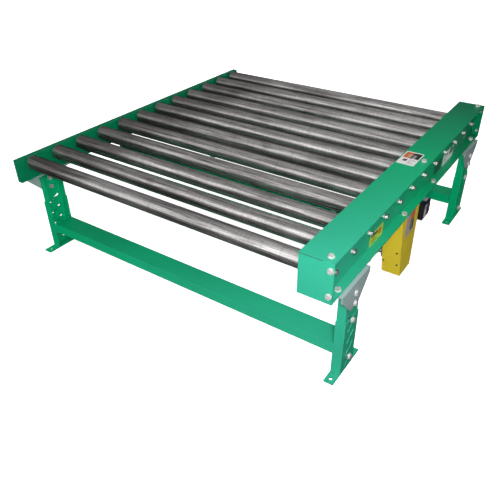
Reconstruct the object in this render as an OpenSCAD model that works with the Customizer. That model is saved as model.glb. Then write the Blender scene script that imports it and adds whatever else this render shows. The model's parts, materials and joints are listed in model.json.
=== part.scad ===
// Chain-driven live roller conveyor with its right-angle worm gearmotor.
// Millimetres. X runs along the rollers, with the drive side at +X. Y runs along the bed. Z is up.
// The origin lies on the floor, under the middle of the bed.

/* [Roller bed] */
// Number of carrying rollers
roller_count = 12; // [10:2:14]
// Chain pitches between neighbouring rollers
links_per_gap = 7; // [7:1:8]
// Height of the top of the rollers above the floor
conveying_height = 498; // [490:1:520]
// Outer diameter of a roller tube
tube_d = 63.5; // [57:0.5:64]
// Wall thickness of a roller tube
tube_wall = 3.05; // [2.5:0.05:4]
// Size across flats of a hexagonal roller axle
axle_af = 17.5; // [14:0.5:18]

/* [Side frames] */
// Width over the outer flange edges of both side frames
frame_w = 1507.6; // [1400:0.1:1600]
// Height of the drive-side channel
drive_h = 152.4; // [152:0.1:160]
// Flange width of the drive-side channel
drive_flange = 38.1; // [36:0.1:42]
// Height of the idler-side channel
idler_h = 101.6; // [98:0.1:105]
// Flange width of the idler-side channel
idler_flange = 25.4; // [24:0.1:32]
// Thickness of both channels
channel_t = 4.8; // [4:0.1:5]
// Thickness of the end plates
end_t = 3; // [2:0.5:4]

/* [Chain compartment] */
// Width of the chain cover
cover_w = 122.4; // [120:0.1:126]
// Thickness of the cover sheet
cover_t = 2.4; // [2:0.1:3]
// Height of the lip on the cover's inboard edge
cover_lip = 36; // [20:1:38]

/* [Chains and sprockets] */
// Pitch of all the roller chains
chain_pitch = 19.05; // [19.05:0.01:19.05]
// Teeth on each roller sprocket
roller_teeth = 16; // [15:1:16]
// Teeth on the gearmotor's output sprocket
output_teeth = 12; // [12:1:12]
// Distance between neighbouring chain lanes
lane_gap = 27; // [26:0.5:27.5]

/* [Gearmotor] */
// Height of the output shaft above the floor
output_z = 130; // [126:1:134]
// Distance of the gearbox's middle plane from the conveyor's middle plane
gearbox_x = 540; // [530:1:545]
// Distance between the worm and the output shaft
worm_offset = 50; // [50:1:50]
// Teeth of the worm wheel
wheel_teeth = 20; // [20:1:20]
// Diameter of the output shaft
output_d = 25; // [22:1:26]
// Outer diameter of the motor
motor_d = 160; // [150:1:166]
// Length of the motor's housing
motor_len = 188; // [180:1:195]

/* [Supports] */
// Distance from the bed's middle to the middle of each support
stand_y = 645; // [620:1:660]
// Width of a lower leg channel
leg_w = 101.6; // [100:0.1:104]
// Depth of a lower leg channel
leg_depth = 38; // [36:1:42]
// Thickness of the leg channels
leg_t = 3; // [2.5:0.1:3.2]
// Height of a lower leg channel
lower_leg_h = 240; // [240:1:246]
// Distance between the diagonal slots of a leg
slot_pitch = 55; // [54:0.5:55]
// Length of a foot plate
foot_len = 210; // [200:1:230]
// Diameter of the floor anchor holes
anchor_d = 14; // [11:1:16]

/* [Hidden] */
$fn = 48;

// Rollers
roller_pitch = links_per_gap * chain_pitch;
bed_len = roller_count * roller_pitch;
half_len = bed_len / 2;
roller_z = conveying_height - tube_d / 2;
drive_roller = roller_count / 2 - 1;
function roller_y(i) = (i - (roller_count - 1) / 2) * roller_pitch;
function two_digits(i) = str(i < 10 ? "0" : "", i);

// Side frames
frame_z = roller_z - 76.2;
half_w = frame_w / 2;
drive_web_x = half_w - drive_flange;
idler_web_x = -half_w + idler_flange;
channel_half = half_len - end_t;
flange_top = frame_z + channel_t;
tube_x0 = idler_web_x + 13.4;
bearing_w = 18;

// Chain compartment
cover_x0 = half_w - cover_w;
cover_z = frame_z + drive_h;
pan_t = 2;
lane_x = [cover_x0 + 15.6, cover_x0 + 15.6 + lane_gap, cover_x0 + 15.6 + 2 * lane_gap];
tube_x1 = lane_x[0] - 9;
drive_lane_x = lane_x[2];
tooth_w = 11;
plate_inner = 6.5;
plate_outer = 11;
plate_half_h = 9;
link_roller_d = 11.9;
function pitch_r(n) = chain_pitch / 2 / sin(180 / n);

// Gearmotor
output_y = roller_y(drive_roller) + 18.7;
gear_module = 3.5;
worm_pitch = PI * gear_module;
wheel_r = gear_module * wheel_teeth / 2;
worm_r = worm_offset - wheel_r;
tooth_add = 3;
tooth_ded = 3.9;
worm_z = output_z + worm_offset;
box_half = [50, 60];
box_wall = 9;
box_bottom = output_z - 54;
box_top = worm_z + 48;
base_z = worm_z + 88;
base_t = 8;
base_x = [gearbox_x - 90, gearbox_x + 100];
box_y1 = output_y + box_half[1];
bell_len = 40;
motor_y0 = box_y1 + bell_len;
motor_y1 = motor_y0 + motor_len;
rear_bell_len = 15;
fan_y0 = motor_y1 + rear_bell_len;
fan_len = 45;
motor_shaft_d = 15.875;
fin_count = 36;
fin_root_r = motor_d / 2 - 8;
stator_d = motor_d - 28;
cross_y = [-430, output_y - 184, output_y + 340, 400];
angle_leg = 38;
angle_t = 5;

// Drive chain guard
guard_x = [cover_x0 + 32, cover_x0 + 113];
guard_t = 2;
support_bolt_r = 38;
guard_front = [[-185, 0], [-100, 325]];
guard_back = [[2, 0], [14, 325]];

// Supports
leg_x = half_w + 12.2;
upper_gap = 0.3;
upper_w = leg_w - 2 * leg_t - 2 * upper_gap;
upper_x = leg_x - leg_t - upper_gap;
upper_z = [36, frame_z - 19];
slot_z0 = 41;
slot_tilt = 35;
slot_len = 64;
slot_w = 11;
slot_count = 4;
upper_slot_z0 = 72;
upper_slot_tilt = -25;
low_bolt_y = 11;
top_bolt_z = 228;
plate_t = 4.8;
plate_x = upper_x + 0.2;
plate_half = 105;
plate_drop = 103;
plate_edge = 22;
plate_low = 30;
pivot_z = frame_z - 45;
tilt_r = 42;
tilt_slot_r = 6.2;
tilt_range = 16;
foot_t = 6.35;
foot_w = 38;
anchor_y = 84;
cross_z = [86, 131];
cross_w = 88;

// ---- Shared shapes ----

// A box between two corners.
module block(low, high) translate(low) cube(high - low);

// A cylinder along X, from x0 to x1.
module bar_x(d, x0, x1)
    translate([x0, 0, 0]) rotate([0, 90, 0]) cylinder(d = d, h = x1 - x0);

// A cylinder along Y, from y0 to y1.
module bar_y(d, y0, y1)
    translate([0, y0, 0]) rotate([-90, 0, 0]) cylinder(d = d, h = y1 - y0);

function hex_d(af) = af / cos(30);

// A hexagonal bar along X whose flats face up and down.
module hex_x(af, x0, x1)
    translate([x0, 0, 0]) rotate([0, 90, 0]) rotate(30) cylinder(d = hex_d(af), h = x1 - x0, $fn = 6);

// A channel along Y. Its web's back is at x = 0 and its flanges point to +X.
module channel_y(height, flange, t, half)
    difference() {
        block([0, -half, 0], [flange, half, height]);
        block([t, -half - 1, t], [flange + 1, half + 1, height - t]);
    }

// A rectangle with round corners, exact in every curve.
module round_rect(w, h, r) {
    square([w - 2 * r, h], center = true);
    square([w, h - 2 * r], center = true);
    for (sx = [-1, 1], sy = [-1, 1])
        translate([sx * (w / 2 - r), sy * (h / 2 - r)]) circle(r = r);
}

// A straight slot with round ends.
module slot_2d(len, w) {
    square([len - w, w], center = true);
    for (s = [-1, 1]) translate([s * (len - w) / 2, 0]) circle(d = w);
}

// Puts a drawing in the Y-Z plane and gives it a thickness along X.
module plate_x_dir(x0, t) translate([x0, 0, 0]) rotate([90, 0, 90]) linear_extrude(t) children();

// A hex bolt with a washer, along Z. Its seat is z = 0 and its head is above.
module hex_bolt(d, shank, af, head_h, washer_d, washer_t = 2) {
    translate([0, 0, -shank]) cylinder(d = d, h = shank + 1);
    cylinder(d = washer_d, h = washer_t);
    translate([0, 0, washer_t]) cylinder(d = hex_d(af), h = head_h, $fn = 6);
}

// A hex nut with a hole for its bolt.
module hex_nut(d, af, h)
    difference() {
        cylinder(d = hex_d(af), h = h, $fn = 6);
        translate([0, 0, -1]) cylinder(d = d, h = h + 2);
    }

module bolt_up(at, d = 11.5, shank = 20, af = 18, head_h = 7, washer_d = 22)
    translate(at) hex_bolt(d, shank, af, head_h, washer_d);

module bolt_down(at, d = 11.5, shank = 12, af = 18, head_h = 7)
    translate(at) mirror([0, 0, 1]) hex_bolt(d, shank, af, head_h, 22);

module each_roller() for (i = [0 : roller_count - 1]) translate([0, roller_y(i), roller_z]) children();

// A sprocket's outline, with a gap straight up.
module sprocket_2d(teeth) {
    r = pitch_r(teeth);
    seat = link_roller_d / 2 + 0.2;
    difference() {
        circle(r = r + 4.2);
        for (k = [0 : teeth - 1]) rotate(k * 360 / teeth) translate([0, r]) {
            circle(r = seat);
            polygon([[-seat, 0], [seat, 0], [seat + 2.2, 6], [-seat - 2.2, 6]]);
        }
    }
}

module sprocket(teeth, x) plate_x_dir(x - tooth_w / 2, tooth_w) sprocket_2d(teeth);

// The outline of a belt round two pulleys a and b, as [y, z, radius].
module belt_2d(a, b) {
    span = [b[0] - a[0], b[1] - a[1]];
    dist = norm(span);
    lie = atan2(span[1], span[0]);
    lean = acos((a[2] - b[2]) / dist);
    translate([a[0], a[1]]) circle(r = a[2]);
    translate([b[0], b[1]]) circle(r = b[2]);
    polygon([
        for (c = [[a, lie + lean], [b, lie + lean], [b, lie - lean], [a, lie - lean]])
            [c[0][0] + c[0][2] * cos(c[1]), c[0][1] + c[0][2] * sin(c[1])]
    ]);
}

// A chain loop: side bars all the way round, and link rollers on its straight spans only.
module chain_loop(a, b, x) {
    grow = [0, 0, plate_half_h];
    span = [b[0] - a[0], b[1] - a[1]];
    dist = norm(span);
    lie = atan2(span[1], span[0]);
    lean = acos((a[2] - b[2]) / dist);
    run = dist * sin(lean);
    count = floor((run - 84) / chain_pitch);
    for (s = [-1, 1])
        plate_x_dir(s > 0 ? x + plate_inner : x - plate_outer, plate_outer - plate_inner) difference() {
            belt_2d(a + grow, b + grow);
            belt_2d(a - grow, b - grow);
        }
    for (side = [-1, 1]) {
        turn = lie + side * lean;
        start = [a[0] + a[2] * cos(turn), a[1] + a[2] * sin(turn)];
        end = [b[0] + b[2] * cos(turn), b[1] + b[2] * sin(turn)];
        way = (end - start) / run;
        for (k = [0 : count]) {
            p = start + way * (run / 2 + (k - count / 2) * chain_pitch);
            translate([0, p[0], p[1]]) bar_x(link_roller_d, x - plate_inner - 0.5, x + plate_inner + 0.5);
        }
    }
}

// ---- Side frames ----

// Bolts in the bottom flanges. The ones with their heads up go through, and the others are tapped in.
// The idler side's flange is narrower, so its bolts sit further out and are smaller.
flange_bolt_in = 15.8;
idler_bolt_in = 10.3;
stand_bolt_y = 81;
flange_hole_d = 12.5;
blind_skin = 1;
function bolt_x(s = 1) = half_w - (s > 0 ? flange_bolt_in : idler_bolt_in);
function head_up_y() = [-stand_y - stand_bolt_y, -160, 173, stand_y + stand_bolt_y];
function head_down_y() = [-stand_y + stand_bolt_y, for (y = cross_y) y, stand_y - stand_bolt_y];

// The bolts of the chain cover, along its outer edge, and of the end plates.
cover_bolt_x = half_w - 26.8;
cover_hole_d = 11;
function cover_bolt_y() = [-half_len + 27, 18, half_len - 27];
end_bolt_x = half_w - 12;
end_bolt_z = [frame_z + 30, frame_z + 125];

// A straight hole down from z = 0, through a sheet of thickness t.
module drill(d, t) translate([0, 0, -t - 1]) cylinder(d = d, h = t + 2);

// The bolt holes of both bottom flanges on side s.
module flange_holes(s) {
    for (y = head_up_y()) translate([s * bolt_x(s), y, flange_top]) drill(flange_hole_d, channel_t);
    for (y = head_down_y())
        translate([s * bolt_x(s), y, frame_z - 1])
            cylinder(d = flange_hole_d, h = channel_t + 1 - blind_skin);
}

module drive_side_channel()
    color("mediumseagreen") difference() {
        translate([drive_web_x, 0, frame_z]) channel_y(drive_h, drive_flange, channel_t, channel_half);
        each_roller() hex_x(axle_af + 0.4, drive_web_x - 1, drive_web_x + channel_t + 1);
        flange_holes(1);
        for (y = cover_bolt_y()) translate([cover_bolt_x, y, cover_z]) drill(cover_hole_d, channel_t);
    }

module idler_side_channel()
    color("mediumseagreen") difference() {
        translate([idler_web_x, 0, frame_z]) mirror([1, 0, 0])
            channel_y(idler_h, idler_flange, channel_t, channel_half);
        each_roller() hex_x(axle_af + 0.4, idler_web_x - channel_t - 1, idler_web_x + 1);
        flange_holes(-1);
    }

// The drive side's end plate is cut down a little under the cover and notched at its foot.
end_step = 2.6;
module end_plates()
    color("mediumseagreen") for (s = [-1, 1]) scale([1, s, 1]) {
        y0 = -half_len - 1;
        y1 = -channel_half + 1;
        difference() {
            block([cover_x0, -half_len, frame_z], [half_w, -channel_half, cover_z]);
            block([cover_x0 - 1, y0, cover_z - end_step], [drive_web_x - 2, y1, cover_z + 1]);
            block([drive_web_x - 2.5, y0, frame_z - 1], [drive_web_x, y1, frame_z + 5]);
            for (z = end_bolt_z) translate([end_bolt_x, 0, z]) bar_y(cover_hole_d, y0, y1);
        }
        block([-half_w, -half_len, frame_z], [idler_web_x, -channel_half, frame_z + idler_h]);
    }

// An angle bar across the bed, under both bottom flanges. Its upright leg is cut back at the ends.
module bed_cross_angles()
    color("mediumseagreen") for (k = [0 : 3]) {
        side = k < 2 ? -1 : 1;
        translate([0, cross_y[k], frame_z]) difference() {
            scale([1, side, 1]) union() {
                block([-half_w + 4, -angle_t / 2, -angle_t], [half_w - 4, angle_leg - angle_t / 2, 0]);
                block([idler_web_x + 8, -angle_t / 2, -angle_leg], [guard_x[0] - 8, angle_t / 2, 0]);
            }
            for (s = [-1, 1]) translate([s * bolt_x(s), 0, 0]) drill(flange_hole_d, angle_t);
            if (k == 1 || k == 2)
                for (x = hanger_x())
                    translate([x, 0, -hanger_bolt_drop]) bar_y(flange_hole_d, -angle_t, angle_t);
        }
    }

module chain_cover()
    color("mediumseagreen") difference() {
        union() {
            block([cover_x0, -half_len, cover_z], [half_w, half_len, cover_z + cover_t]);
            block([cover_x0, -channel_half, cover_z - cover_lip],
                [cover_x0 + cover_t, channel_half, cover_z + 1]);
        }
        for (y = cover_bolt_y()) translate([cover_bolt_x, y, cover_z + cover_t]) drill(cover_hole_d, cover_t);
    }

module chain_pan()
    color("seagreen") difference() {
        union() {
            block([cover_x0, -channel_half, frame_z], [drive_web_x, channel_half, frame_z + pan_t]);
            block([cover_x0, -channel_half, frame_z], [cover_x0 + pan_t, channel_half, frame_z + 38]);
        }
        translate([0, roller_y(drive_roller), 0])
            block([drive_lane_x - 16, -66, frame_z - 1], [drive_web_x + 1, 66, frame_z + pan_t + 1]);
    }

// The bolts of the chain cover and the end plates, and the small screws of the drive chain guard.
module cover_screws()
    color("gainsboro") {
        for (y = cover_bolt_y()) bolt_up([cover_bolt_x, y, cover_z + cover_t], 10, 14, 16, 6.5);
        for (s = [-1, 1], z = end_bolt_z)
            scale([1, s, 1]) translate([end_bolt_x, -half_len, z]) rotate([90, 0, 0])
                hex_bolt(10, 12, 16, 6.5, 22);
        guard_screws();
    }

// The hex nuts of the bolts through the bottom flanges, with their tops at z.
module flange_nut(s, y, z, d, af, h) translate([s * bolt_x(s), y, z - h]) hex_nut(d, af, h);

// Every bolt that holds something to the bed: heads up on the flanges, heads down below, and the pivots.
module frame_bolts()
    color("gainsboro") {
        for (s = [-1, 1], y = head_up_y()) {
            at_stand = abs(y) > stand_y;
            bolt_up([s * bolt_x(s), y, flange_top], d = at_stand ? 11.5 : 8,
                af = s > 0 ? 18 : 15, washer_d = s > 0 ? 22 : 18);
            if (at_stand) flange_nut(s, y, frame_z - plate_t, 12, 18, 9);
            else if (s > 0 && y > 0) flange_nut(s, y, frame_z - bracket_t, 8.4, 14, 7);
        }
        for (s = [-1, 1], y = head_down_y()) {
            seat = abs(y) > 450 ? plate_t : angle_t;
            bolt_down([s * bolt_x(s), y, frame_z - seat], shank = seat + channel_t - blind_skin - 0.4);
        }
        for (s = [-1, 1], sy = [-1, 1]) stand_side(s, sy) pivot_bolt(pivot_z);
        for (k = [1, 2], x = hanger_x()) {
            out = k == 1 ? -1 : 1;
            translate([x, cross_y[k] + out * angle_t / 2, frame_z - hanger_bolt_drop])
                rotate([-90 * out, 0, 0]) m12_bolt(14);
            translate([x, hanger_bolt_y(k), base_z + base_t + angle_t]) m12_bolt(24);
        }
        for (x = box_foot_x(), y = box_foot_y()) translate([x, y, base_z + base_t]) m12_bolt(30);
    }

module m12_bolt(shank) hex_bolt(12, shank, 18, 7, 22);

// A bolt along X through a pivot plate and a leg at height z, and its nut.
module pivot_bolt(z) {
    translate([plate_x + plate_t, 0, z]) rotate([0, 90, 0]) hex_bolt(12, 22, 18, 7, 24);
    translate([upper_x - leg_t - 9.2, 0, z]) rotate([0, 90, 0]) hex_nut(12.4, 18, 9);
}

// ---- Rollers ----

module roller_axles()
    color("silver") each_roller()
        hex_x(axle_af, idler_web_x - channel_t - 12, drive_web_x + channel_t + 14.5);

function bearing_x() = [tube_x0 + 2, tube_x1 - 6 - bearing_w];

module roller_bearings()
    color("dimgray") each_roller() for (x = bearing_x()) difference() {
        bar_x(tube_d - 2 * tube_wall - 0.1, x, x + bearing_w);
        hex_x(axle_af + 0.1, x - 1, x + bearing_w + 1);
    }

// A roller: its tube, the hub past the tube's end, and a sprocket for each chain that reaches it.
module roller(i) {
    lanes = concat(i > 0 ? [lane_x[(i + 1) % 2]] : [], i < roller_count - 1 ? [lane_x[i % 2]] : [],
        i == drive_roller ? [drive_lane_x] : []);
    color("lightslategray") translate([0, roller_y(i), roller_z]) difference() {
        union() {
            bar_x(tube_d, tube_x0, tube_x1);
            bar_x(46, tube_x1 - 1, max(lanes) + 6);
            for (x = lanes) sprocket(roller_teeth, x);
        }
        bar_x(tube_d - 2 * tube_wall, tube_x0 - 1, tube_x1 - 4);
        bar_x(24, tube_x1 - 5, drive_lane_x + 10);
    }
}

// A roller's sprocket as a chain sees it: [y, z, pitch radius].
function roller_circle(i) = [roller_y(i), roller_z, pitch_r(roller_teeth)];

module roll_chains()
    color("dimgray") for (i = [0 : roller_count - 2])
        chain_loop(roller_circle(i), roller_circle(i + 1), lane_x[i % 2]);

module drive_chain()
    color("dimgray")
        chain_loop([output_y, output_z, pitch_r(output_teeth)], roller_circle(drive_roller), drive_lane_x);

// ---- Drive chain guard ----

// The guard's side outline, drawn inset by w from its sloping faces.
module guard_2d(w, top)
    polygon([
        [guard_front[0][0] + w, frame_z + top], [guard_front[1][0] + w, frame_z - guard_front[1][1] + w],
        [guard_back[1][0] - w, frame_z - guard_back[1][1] + w], [guard_back[0][0] - w, frame_z + top]
    ]);

module drive_guard_shell()
    color("gold") difference() {
        plate_x_dir(guard_x[0] + guard_t, guard_x[1] - guard_x[0] - guard_t) guard_2d(0, 0);
        difference() {
            plate_x_dir(guard_x[0], guard_x[1] - guard_x[0] - guard_t) guard_2d(guard_t, 1);
            block([bolt_x() - 14, -190, frame_z - guard_t], [guard_x[1], guard_front[0][0] + 55, frame_z]);
        }
        translate([bolt_x(), head_up_y()[1], frame_z - guard_t - 1]) cylinder(d = 8.6, h = guard_t + 2);
        each_guard_screw() translate([0, 0, -6]) cylinder(d = 5.4, h = 8);
    }

module drive_guard_back()
    color("goldenrod") difference() {
        plate_x_dir(guard_x[0], guard_t) guard_2d(0, -0.5);
        translate([0, output_y, output_z]) bar_x(36, guard_x[0] - 1, guard_x[0] + guard_t + 1);
        for (s = [-1, 1]) translate([0, output_y, output_z + s * support_bolt_r])
            bar_x(9, guard_x[0] - 1, guard_x[0] + guard_t + 1);
    }

// The slope of the guard's front face.
guard_lean = atan((guard_front[1][0] - guard_front[0][0]) / guard_front[1][1]);

// The guard's front screws, as [x, depth below the frame].
function guard_screw_at() = [[guard_x[1] - 17, 195], [guard_x[1] - 15, 263], [guard_x[0] + 7, 258]];

module each_guard_screw()
    for (p = guard_screw_at())
        translate([p[0], guard_front[0][0] + p[1] * tan(guard_lean), frame_z - p[1]])
            rotate([90 + guard_lean, 0, 0]) children();

module guard_screws()
    each_guard_screw() {
        cylinder(d = 9, h = 2.4);
        translate([0, 0, -6]) cylinder(d = 5, h = 7);
    }

module shaft_support_bearing()
    color("slategray") difference() {
        union() {
            translate([0, output_y, output_z]) {
                bar_x(52, guard_x[0] - 22, guard_x[0] - 0.2);
                bar_x(30, guard_x[0] - 26, guard_x[0] - 20);
            }
            translate([0, output_y, output_z]) plate_x_dir(guard_x[0] - 10.2, 10) rotate(90) slot_2d(100, 34);
        }
        translate([0, output_y, output_z]) {
            bar_x(output_d + 0.1, guard_x[0] - 30, guard_x[0] + 1);
            for (s = [-1, 1]) translate([0, 0, s * support_bolt_r]) bar_x(9, guard_x[0] - 12, guard_x[0] + 1);
        }
    }

// ---- Gearmotor base ----

hanger_bolt_drop = 20;
function hanger_x() = [base_x[0] + 25, base_x[1] - 25];
function box_foot_x() = [gearbox_x - 42, gearbox_x + 42];
function box_foot_y() = [output_y - 46, output_y + 46];

module drive_base_plate()
    color("slategray") difference() {
        block([base_x[0], cross_y[1] + angle_t / 2, base_z],
            [base_x[1], cross_y[2] - angle_t / 2, base_z + base_t]);
        for (x = box_foot_x(), y = box_foot_y()) translate([x, y, base_z + base_t]) drill(12.6, base_t);
        for (k = [1, 2], x = hanger_x()) translate([x, hanger_bolt_y(k), base_z + base_t]) drill(12.6, base_t);
    }

// The place of the hangers' bolts in the base plate, at cross angle k.
hanger_foot_in = angle_t * 1.5 + 18;
function hanger_bolt_y(k) = cross_y[k] + (k == 1 ? 1 : -1) * hanger_foot_in;

module drive_hangers()
    color("slategray") for (k = [1, 2], x = hanger_x()) {
        out = k == 1 ? -1 : 1;
        difference() {
            translate([x, cross_y[k] - out * angle_t / 2, 0]) scale([1, -out, 1]) union() {
                block([-20, 0, base_z + base_t], [20, angle_t, frame_z - angle_t - 0.5]);
                block([-20, 0, base_z + base_t], [20, 38, base_z + base_t + angle_t]);
            }
            translate([x, cross_y[k], frame_z - hanger_bolt_drop]) bar_y(flange_hole_d, -12, 12);
            translate([x, hanger_bolt_y(k), base_z]) cylinder(d = 12.6, h = 40);
        }
    }

// ---- Gearbox ----

// The gearbox housing, open on the side of its cover.
module gearbox_housing()
    color("steelblue") difference() {
        union() {
            translate([gearbox_x, output_y, box_bottom]) linear_extrude(box_top - box_bottom)
                round_rect(2 * box_half[0], 2 * box_half[1], 14);
            translate([gearbox_x, output_y, box_top - 1])
                linear_extrude(base_z - box_top - 10) round_rect(78, 92, 14);
            translate([gearbox_x, output_y, base_z - 12]) linear_extrude(12) round_rect(112, 118, 12);
        }
        block([gearbox_x - box_half[0] + box_wall, output_y - box_half[1] + box_wall, box_bottom + box_wall],
            [gearbox_x + box_half[0] + 1, output_y + box_half[1] - box_wall, box_top - box_wall]);
        translate([0, output_y, output_z]) bar_x(46, gearbox_x - box_half[0] + 3, gearbox_x);
        translate([gearbox_x, 0, worm_z]) {
            bar_y(42, output_y - box_half[1] + 3, output_y);
            bar_y(52, output_y, box_y1 + 1);
        }
        for (x = box_foot_x(), y = box_foot_y()) translate([x, y, base_z - 13]) cylinder(d = 12.2, h = 14);
        for (p = side_cover_holes()) translate([gearbox_x + box_half[0], p[0], p[1]]) bar_x(6, -16, 1);
    }

cover_plate_t = 8;
function side_cover_holes() = [for (sy = [-1, 1], z = [box_bottom + 8, box_top - 8]) [output_y + sy * 40, z]];

module gearbox_side_cover()
    color("steelblue") {
        x0 = gearbox_x + box_half[0];
        difference() {
            union() {
                translate([0, output_y, (box_bottom + box_top) / 2]) plate_x_dir(x0, cover_plate_t)
                    round_rect(2 * box_half[1] - 6, box_top - box_bottom - 2, 10);
                translate([0, output_y, output_z]) bar_x(62, x0 - 12, x0 + cover_plate_t + 8);
            }
            translate([0, output_y, output_z]) {
                bar_x(46, x0 - 13, x0 + cover_plate_t);
                bar_x(40, x0, x0 + cover_plate_t + 9);
            }
            for (p = side_cover_holes()) translate([0, p[0], p[1]]) bar_x(7, x0 - 1, x0 + cover_plate_t + 1);
        }
    }

// A ring about the X axis.
module ring_x(od, id, x0, x1) difference() {
    bar_x(od, x0, x1);
    bar_x(id, x0 - 1, x1 + 1);
}

// A ring about the Y axis.
module ring_y(od, id, y0, y1) difference() {
    bar_y(od, y0, y1);
    bar_y(id, y0 - 1, y1 + 1);
}

rotor_bearing_y = [motor_y0 - 18, motor_y1 + 1];

module drive_bearings()
    color("lightsteelblue") {
        translate([0, output_y, output_z]) {
            ring_x(46, output_d + 0.06, gearbox_x - box_half[0] + 3.2, gearbox_x - box_half[0] + 14);
            ring_x(46 - 0.04, output_d + 0.06, gearbox_x + box_half[0] - 8, gearbox_x + box_half[0] + 7);
        }
        translate([gearbox_x, 0, worm_z]) {
            ring_y(42, 17.06, output_y - box_half[1] + 3.2, output_y - box_half[1] + 15);
            ring_y(52, 30.06, box_y1 - 16, box_y1 - 1);
            for (y = rotor_bearing_y) ring_y(40, 20.06, y, y + 12);
        }
    }

module shaft_seals()
    color("black") {
        x1 = gearbox_x + box_half[0] + cover_plate_t;
        translate([0, output_y, output_z]) ring_x(40, output_d + 0.1, x1 + 0.5, x1 + 7.5);
    }

module gearbox_bolts()
    color("gainsboro") {
        x1 = gearbox_x + box_half[0] + cover_plate_t;
        for (p = side_cover_holes()) translate([x1, p[0], p[1]]) rotate([0, 90, 0]) {
            translate([0, 0, -20]) cylinder(d = 5.9, h = 21);
            cylinder(d = 10, h = 6);
        }
        for (a = [60, 120, 240, 300]) translate([gearbox_x + 74 * cos(a), box_y1 + 12, worm_z + 74 * sin(a)])
            rotate([-90, 0, 0]) cylinder(d = hex_d(11), h = 6, $fn = 6);
        for (p = [[34, box_bottom + 30], [-34, box_top - 30]])
            translate([gearbox_x - box_half[0], output_y + p[0], p[1]])
                rotate([0, -90, 0]) cylinder(d = hex_d(14), h = 6, $fn = 6);
    }

// A worm wheel with a tooth gap straight up and a plain bore.
module worm_wheel()
    color("darkgoldenrod") translate([0, output_y, output_z]) difference() {
        union() {
            plate_x_dir(gearbox_x - 7, 14) difference() {
                circle(r = wheel_r + tooth_add);
                for (k = [0 : wheel_teeth - 1]) rotate(k * 360 / wheel_teeth)
                    polygon([
                        [wheel_r - tooth_ded, -2.2], [wheel_r + tooth_add + 1, -4.2],
                        [wheel_r + tooth_add + 1, 4.2], [wheel_r - tooth_ded, 2.2]
                    ]);
            }
            bar_x(44, gearbox_x - 17, gearbox_x + 17);
        }
        bar_x(output_d + 0.02, gearbox_x - 20, gearbox_x + 20);
    }

module output_shaft()
    color("silver") translate([0, output_y, output_z])
        bar_x(output_d, gearbox_x - box_half[0] + 4, drive_lane_x + 8);

module output_sprocket()
    color("lightslategray") translate([0, output_y, output_z]) difference() {
        union() {
            sprocket(output_teeth, drive_lane_x);
            bar_x(46, drive_lane_x - 28, drive_lane_x + 1);
        }
        bar_x(output_d + 0.02, drive_lane_x - 30, drive_lane_x + 10);
    }

// The worm's thread, swept along a right-hand helix about the Y axis.
thread_turns = 5;
thread_steps = 20;
thread_root = 1.9;
thread_tip = 1.1;
module worm_thread() {
    n = thread_turns * thread_steps;
    section = [
        [worm_r - tooth_ded - 0.4, -thread_root], [worm_r + tooth_add, -thread_tip],
        [worm_r + tooth_add, thread_tip], [worm_r - tooth_ded - 0.4, thread_root]
    ];
    points = [
        for (i = [0 : n], c = section)
            let (a = 360 * i / thread_steps, y = (i / n - 0.5) * thread_turns * worm_pitch + c[1])
                [c[0] * sin(a), y, c[0] * cos(a)]
    ];
    sides = [
        for (i = [0 : n - 1], j = [0 : 3])
            let (a = 4 * i + j, b = 4 * i + (j + 1) % 4)
                [a, b, b + 4, a + 4]
    ];
    tris = [for (q = sides, t = [[q[0], q[1], q[2]], [q[0], q[2], q[3]]]) t];
    ends = [[3, 2, 1, 0], [4 * n, 4 * n + 1, 4 * n + 2, 4 * n + 3]];
    polyhedron(points = points, faces = concat([ends[0]], tris, [ends[1]]));
}

module worm_shaft()
    color("silver") translate([gearbox_x, 0, worm_z]) difference() {
        union() {
            translate([0, output_y, 0]) worm_thread();
            bar_y(2 * (worm_r - tooth_ded), output_y - 36, output_y + 40);
            bar_y(17, output_y - box_half[1] + 3.4, output_y - 35);
            bar_y(30, output_y + 39, box_y1);
        }
        bar_y(motor_shaft_d + 0.04, output_y + 12, box_y1 + 1);
    }

// ---- Motor ----

module motor_face_bell()
    color("steelblue") translate([gearbox_x, 0, worm_z]) difference() {
        union() {
            bar_y(motor_d + 4, box_y1 + 0.05, box_y1 + 12);
            bar_y(motor_d - 26, box_y1 + 11, motor_y0 - 8);
            bar_y(motor_d, motor_y0 - 9, motor_y0);
        }
        bar_y(34, box_y1 - 1, motor_y0 + 1);
        bar_y(40.04, rotor_bearing_y[0] - 0.1, motor_y0 + 1);
    }

// The housing's outline with its cooling fins, which taper outwards.
module finned_2d() {
    tip_r = motor_d / 2;
    polygon([
        for (k = [0 : fin_count - 1], c = [[-2, fin_root_r], [-1, tip_r], [1, tip_r], [2, fin_root_r]])
            let (a = k * 360 / fin_count + c[0])
                [c[1] * cos(a), c[1] * sin(a)]
    ]);
}

module motor_housing()
    color("steelblue") translate([gearbox_x, 0, worm_z]) difference() {
        union() {
            translate([0, motor_y1, 0]) rotate([90, 0, 0]) linear_extrude(motor_len) finned_2d();
            translate([0, motor_y0 + motor_len / 2, 0])
                block([-motor_d / 2, -24, -24], [-fin_root_r + 4, 24, 24]);
        }
        bar_y(stator_d, motor_y0 - 1, motor_y1 + 1);
        translate([-motor_d / 2 + 30, motor_y0 + motor_len / 2, 0])
            rotate([0, -90, 0]) cylinder(d = 22, h = 40);
    }

module motor_stator()
    color("peru") translate([gearbox_x, 0, worm_z]) {
        ring_y(stator_d - 0.04, 92, motor_y0 + 40, motor_y1 - 36);
        ring_y(stator_d - 10, 96, motor_y0 + 20, motor_y0 + 40);
        ring_y(stator_d - 10, 96, motor_y1 - 36, motor_y1 - 16);
    }

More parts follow.
